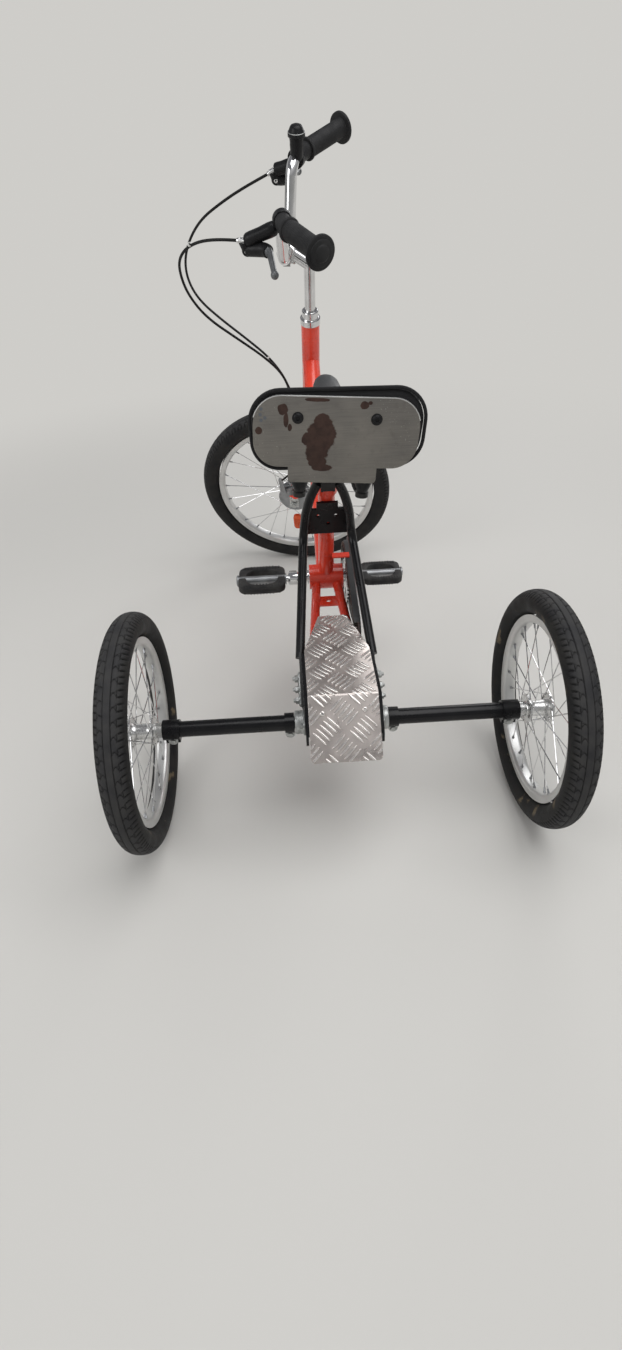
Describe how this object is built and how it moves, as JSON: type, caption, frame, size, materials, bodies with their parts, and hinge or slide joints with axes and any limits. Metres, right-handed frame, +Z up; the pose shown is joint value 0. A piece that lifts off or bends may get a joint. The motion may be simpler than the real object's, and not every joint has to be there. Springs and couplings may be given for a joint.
{
  "type": "child's adaptive tricycle",
  "caption": "Upright child's tricycle: bicycle front with saddle and backrest, and a bolted rear carrier with two wheels on axle tubes.",
  "frame": {"origin": "on the floor, below the middle of the overall length and width", "axes": "+X to the rider's right, +Y forward along the vehicle, +Z up"},
  "size_m": [0.713, 1.2012, 1.0118],
  "materials": {
    "red_paint": "gloss enamel",
    "black_paint": "gloss powder coat",
    "guard_paint": "satin",
    "chrome": "polished",
    "zinc": "zinc plated",
    "chain_steel": "oiled",
    "aluminium": "satin",
    "hub_grey": "satin",
    "tread_aluminium": "five bar tread, dull",
    "bare_plate": "dull, with glue stains",
    "tyre_rubber": "moulded tread",
    "grip_rubber": "matt",
    "pedal_rubber": "matt",
    "black_plastic": "satin",
    "saddle_cover": "grained vinyl",
    "pad_cover": "coarse black cover",
    "cable_cover": "gloss sheath",
    "spring_black": "black"
  },
  "bodies": {
    "frame": {"main_frame": "red_paint", "headset_cups": "chrome", "adapter_bracket": "black_paint", "adapter_collar": "black_paint", "adapter_stay_right": "black_paint", "adapter_stay_left": "black_paint", "side_plate_right": "black_paint", "side_plate_left": "black_paint", "side_straps": "zinc", "tread_plate": "tread_aluminium", "bearing_housings": "zinc", "chain_guard": "guard_paint", "chain": "chain_steel", "seat_post": "chrome", "saddle": "saddle_cover", "saddle_frame": "spring_black", "saddle_springs": "spring_black", "backrest_plate": "bare_plate", "backrest_pad": "pad_cover", "backrest_arm": "black_paint"},
    "steering": {"fork": "red_paint", "front_axle": "zinc", "drum_brake_plate": "hub_grey", "rim_brake": "aluminium", "stem": "chrome", "handlebar": "chrome", "grip_right": "grip_rubber", "grip_left": "grip_rubber", "brake_lever_right": "black_plastic", "brake_lever_left": "black_plastic", "bell": "black_plastic", "cable_right": "cable_cover", "cable_left": "cable_cover"},
    "front_wheel": {"front_tyre": "tyre_rubber", "front_rim": "aluminium", "front_hub": "hub_grey"},
    "rear_wheel_right": {"rear_tyre_right": "tyre_rubber", "rear_rim_right": "aluminium", "rear_hub_right": "aluminium", "rear_axle_tube_right": "black_paint", "rear_sprocket": "chain_steel"},
    "rear_wheel_left": {"rear_tyre_left": "tyre_rubber", "rear_rim_left": "aluminium", "rear_hub_left": "aluminium", "rear_axle_tube_left": "black_paint"},
    "crankset": {"crank_spindle": "chrome", "crank_right": "chrome", "crank_left": "chrome"},
    "pedal_right": {"pedal_frame_right": "aluminium", "pedal_rubbers_right": "pedal_rubber"},
    "pedal_left": {"pedal_frame_left": "aluminium", "pedal_rubbers_left": "pedal_rubber"}
  },
  "joints": [
    {"name": "steering_turn", "type": "hinge", "parent": "frame", "child": "steering", "pos_m": [0, 0.3489, 0.59707], "axis": [0, -0.3518, 0.9361], "range_deg": [-162.7, 0]},
    {"name": "front_wheel_spin", "type": "hinge", "parent": "steering", "child": "front_wheel", "pos_m": [-0.04548, 0.49083, 0.23912], "axis": [0.1504, 0.9254, 0.3478], "continuous": true},
    {"name": "rear_wheel_right_spin", "type": "hinge", "parent": "frame", "child": "rear_wheel_right", "pos_m": [0.333, -0.40059, 0.2], "axis": [1, 0, 0], "continuous": true},
    {"name": "rear_wheel_left_spin", "type": "hinge", "parent": "frame", "child": "rear_wheel_left", "pos_m": [-0.333, -0.40059, 0.2], "axis": [1, 0, 0], "continuous": true},
    {"name": "crank_turn", "type": "hinge", "parent": "frame", "child": "crankset", "pos_m": [0, -0.04059, 0.27], "axis": [1, 0, 0], "continuous": true},
    {"name": "pedal_right_turn", "type": "hinge", "parent": "crankset", "child": "pedal_right", "pos_m": [0.126, 0.04653, 0.22091], "axis": [1, 0, 0], "continuous": true},
    {"name": "pedal_left_turn", "type": "hinge", "parent": "crankset", "child": "pedal_left", "pos_m": [-0.126, -0.12771, 0.31909], "axis": [1, 0, 0], "continuous": true}
  ]
}
